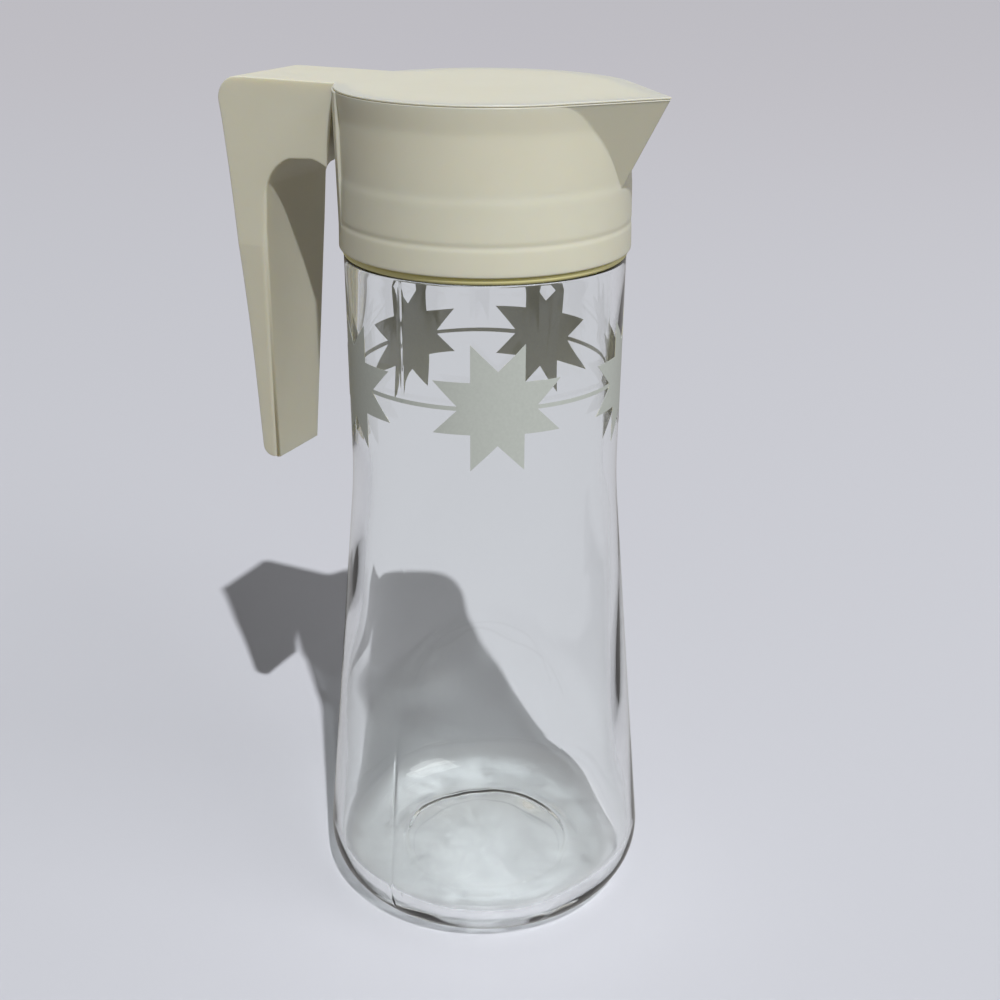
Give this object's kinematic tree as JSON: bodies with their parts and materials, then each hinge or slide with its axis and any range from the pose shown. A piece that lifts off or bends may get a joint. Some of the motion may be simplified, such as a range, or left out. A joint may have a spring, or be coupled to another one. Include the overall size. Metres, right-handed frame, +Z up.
{
  "type": "syrup dispenser",
  "caption": "Flared glass jar with a push-on pouring collar and a lid that is moulded in one with its hollow handle and opens as the handle is lifted.",
  "frame": {"origin": "on the jar's axis, in the plane that the jar rests on", "axes": "+Z up along the jar's axis, +X towards the spout, so the handle stands out along -X and the hinge turns about Y"},
  "size_m": [0.0957, 0.0744, 0.1851],
  "materials": {
    "glass": "pressed clear soda-lime glass, fire polished",
    "vinyl": "smooth olive-yellow soft vinyl, slightly translucent",
    "cream_plastic": "injection-moulded cream polypropylene, semi-gloss"
  },
  "bodies": {
    "jar": {"glass_jar": "glass"},
    "collar": {"collar": "cream_plastic", "neck_seal": "vinyl"},
    "lid": {"lid_and_handle": "cream_plastic"}
  },
  "joints": [
    {"name": "collar_lift", "type": "slide", "parent": "jar", "child": "collar", "axis": [0, 0, 1], "range_m": [0, 0.025]},
    {"name": "lid_hinge", "type": "hinge", "parent": "collar", "child": "lid", "pos_m": [-0.033, 0, 0.17965], "axis": [0, -1, 0], "range_deg": [0, 13]}
  ]
}
